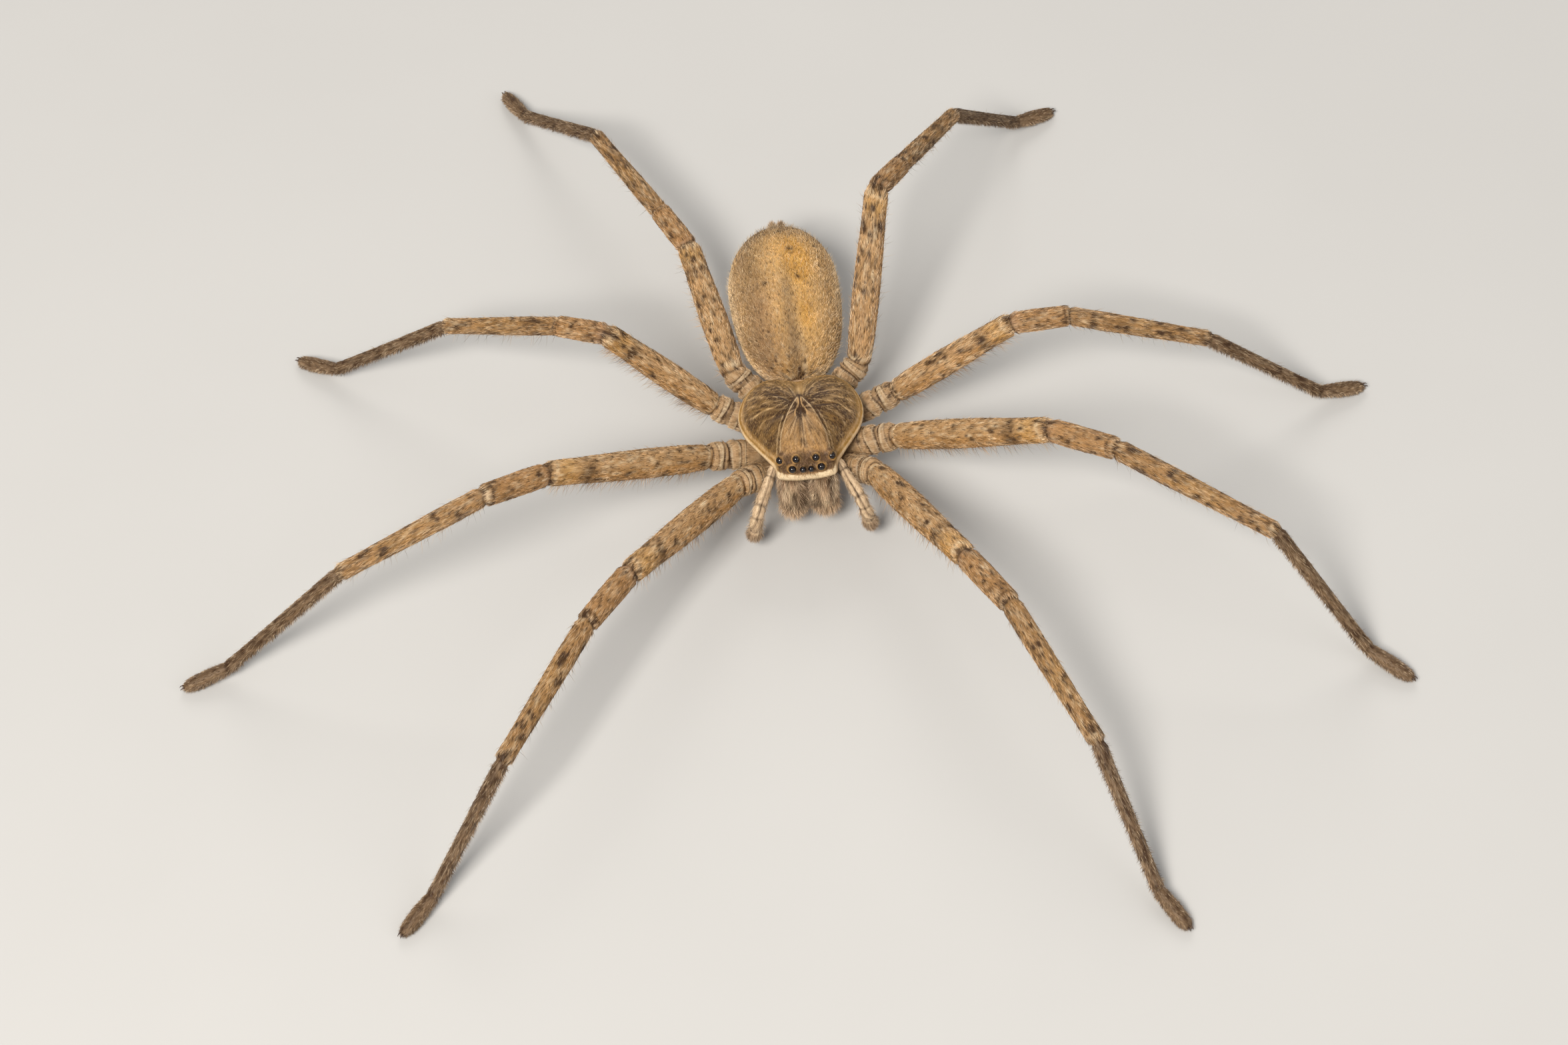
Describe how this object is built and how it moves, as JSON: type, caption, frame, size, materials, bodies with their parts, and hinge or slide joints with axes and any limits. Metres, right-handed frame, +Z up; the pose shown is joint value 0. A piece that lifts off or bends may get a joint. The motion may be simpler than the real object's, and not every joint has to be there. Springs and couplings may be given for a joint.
{
  "type": "huntsman spider",
  "caption": "Life-size huntsman spider standing with its legs spread wide, as a still museum model, with egg-shaped abdomen, broad shield and bristly jaws.",
  "frame": {"origin": "middle of the part's box in plan, at the level that the feet rest on", "axes": "+Z up, -Y where the head looks, +X the animal's left side"},
  "size_m": [0.0912, 0.0846, 0.015],
  "materials": {
    "carapace_shield": "golden brown cuticle under thin tan hair, pale rim, darker patches",
    "eye_lens": "glossy black lens",
    "underside": "pale tan cuticle with fine hair",
    "abdomen_coat": "velvety tan hair with a stipple of darker flecks",
    "jaw_bristles": "dense grey-tan bristles over brown cuticle",
    "dark_claw": "dark glossy horn-like cuticle",
    "palp_hair": "pale tan hair over pinkish cuticle",
    "leg_hip": "pale pinkish cream cuticle with dark creases and thin hair",
    "leg_femur": "golden tan hair with small dark flecks",
    "leg_patella": "plain pinkish tan, thinly haired",
    "leg_tibia": "golden tan hair lying along the segment, with dark patches below",
    "leg_foot": "brown-grey hair with pale streaks above and a grey brush below"
  },
  "bodies": {
    "root": {"carapace": "carapace_shield", "eye_front_middle_right": "eye_lens", "eye_front_middle_left": "eye_lens", "eye_front_side_right": "eye_lens", "eye_front_side_left": "eye_lens", "eye_rear_middle_right": "eye_lens", "eye_rear_middle_left": "eye_lens", "eye_rear_side_right": "eye_lens", "eye_rear_side_left": "eye_lens", "sternum": "underside", "pedicel": "underside", "spinnerets": "underside", "abdomen": "abdomen_coat", "chelicera_right": "jaw_bristles", "fang_right": "dark_claw", "palp_right": "palp_hair", "chelicera_left": "jaw_bristles", "fang_left": "dark_claw", "palp_left": "palp_hair", "leg_right_1_hip": "leg_hip", "leg_right_1_femur": "leg_femur", "leg_right_1_patella": "leg_patella", "leg_right_1_tibia": "leg_tibia", "leg_right_1_foot": "leg_foot", "leg_right_2_hip": "leg_hip", "leg_right_2_femur": "leg_femur", "leg_right_2_patella": "leg_patella", "leg_right_2_tibia": "leg_tibia", "leg_right_2_foot": "leg_foot", "leg_right_3_hip": "leg_hip", "leg_right_3_femur": "leg_femur", "leg_right_3_patella": "leg_patella", "leg_right_3_tibia": "leg_tibia", "leg_right_3_foot": "leg_foot", "leg_right_4_hip": "leg_hip", "leg_right_4_femur": "leg_femur", "leg_right_4_patella": "leg_patella", "leg_right_4_tibia": "leg_tibia", "leg_right_4_foot": "leg_foot", "leg_left_1_hip": "leg_hip", "leg_left_1_femur": "leg_femur", "leg_left_1_patella": "leg_patella", "leg_left_1_tibia": "leg_tibia", "leg_left_1_foot": "leg_foot", "leg_left_2_hip": "leg_hip", "leg_left_2_femur": "leg_femur", "leg_left_2_patella": "leg_patella", "leg_left_2_tibia": "leg_tibia", "leg_left_2_foot": "leg_foot", "leg_left_3_hip": "leg_hip", "leg_left_3_femur": "leg_femur", "leg_left_3_patella": "leg_patella", "leg_left_3_tibia": "leg_tibia", "leg_left_3_foot": "leg_foot", "leg_left_4_hip": "leg_hip", "leg_left_4_femur": "leg_femur", "leg_left_4_patella": "leg_patella", "leg_left_4_tibia": "leg_tibia", "leg_left_4_foot": "leg_foot"}
  },
  "joints": []
}
